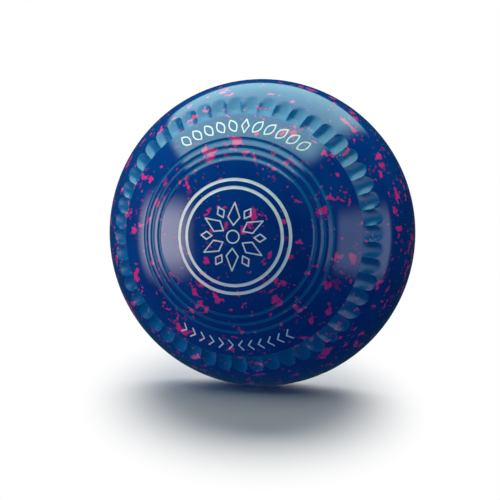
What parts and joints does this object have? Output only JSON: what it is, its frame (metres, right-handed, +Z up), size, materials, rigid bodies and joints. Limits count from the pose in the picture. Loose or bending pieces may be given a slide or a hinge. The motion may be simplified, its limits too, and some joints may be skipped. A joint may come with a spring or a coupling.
{
  "type": "lawn bowl",
  "caption": "Biased bowl pressed from speckled blue composition round a plain core, turned, with a ring of scooped grip dimples, turned grooves and paint-filled engraving on its sides.",
  "frame": {"origin": "on the ground under the middle of the bowl, where the running surface rests", "axes": "+Z up, spin axis along Y: the side with the large emblem faces -Y and the bias side, with the small emblem, faces +Y"},
  "size_m": [0.1242, 0.1046, 0.124],
  "materials": {
    "shell": "polished blue composition with crimson flakes, satin where the grip is cut",
    "core": "plain pressed composition",
    "paint": "cream engraving paint"
  },
  "bodies": {
    "root": {"bias_ring_paint": "paint", "bias_side_shell": "shell", "bias_star_centre_ring_paint": "paint", "bias_star_point_paint_1": "paint", "bias_star_point_paint_2": "paint", "bias_star_point_paint_3": "paint", "bias_star_point_paint_4": "paint", "bias_star_point_paint_5": "paint", "bias_star_point_paint_6": "paint", "composition_core": "core", "emblem_side_shell": "shell", "garland_left_leaf_paint_1": "paint", "garland_left_leaf_paint_2": "paint", "garland_left_leaf_paint_3": "paint", "garland_left_leaf_paint_4": "paint", "garland_left_leaf_paint_5": "paint", "garland_middle_paint": "paint", "garland_right_leaf_paint_1": "paint", "garland_right_leaf_paint_2": "paint", "garland_right_leaf_paint_3": "paint", "garland_right_leaf_paint_4": "paint", "garland_right_leaf_paint_5": "paint", "inner_ring_paint": "paint", "left_chevron_paint_1": "paint", "left_chevron_paint_2": "paint", "left_chevron_paint_3": "paint", "left_chevron_paint_4": "paint", "left_chevron_paint_5": "paint", "left_chevron_paint_6": "paint", "outer_ring_paint": "paint", "right_chevron_paint_1": "paint", "right_chevron_paint_2": "paint", "right_chevron_paint_3": "paint", "right_chevron_paint_4": "paint", "right_chevron_paint_5": "paint", "right_chevron_paint_6": "paint", "star_centre_ring_paint": "paint", "star_diamond_paint_1": "paint", "star_diamond_paint_2": "paint", "star_diamond_paint_3": "paint", "star_diamond_paint_4": "paint", "star_diamond_paint_5": "paint", "star_diamond_paint_6": "paint", "star_point_paint_1": "paint", "star_point_paint_2": "paint", "star_point_paint_3": "paint", "star_point_paint_4": "paint", "star_point_paint_5": "paint", "star_point_paint_6": "paint"}
  },
  "joints": []
}
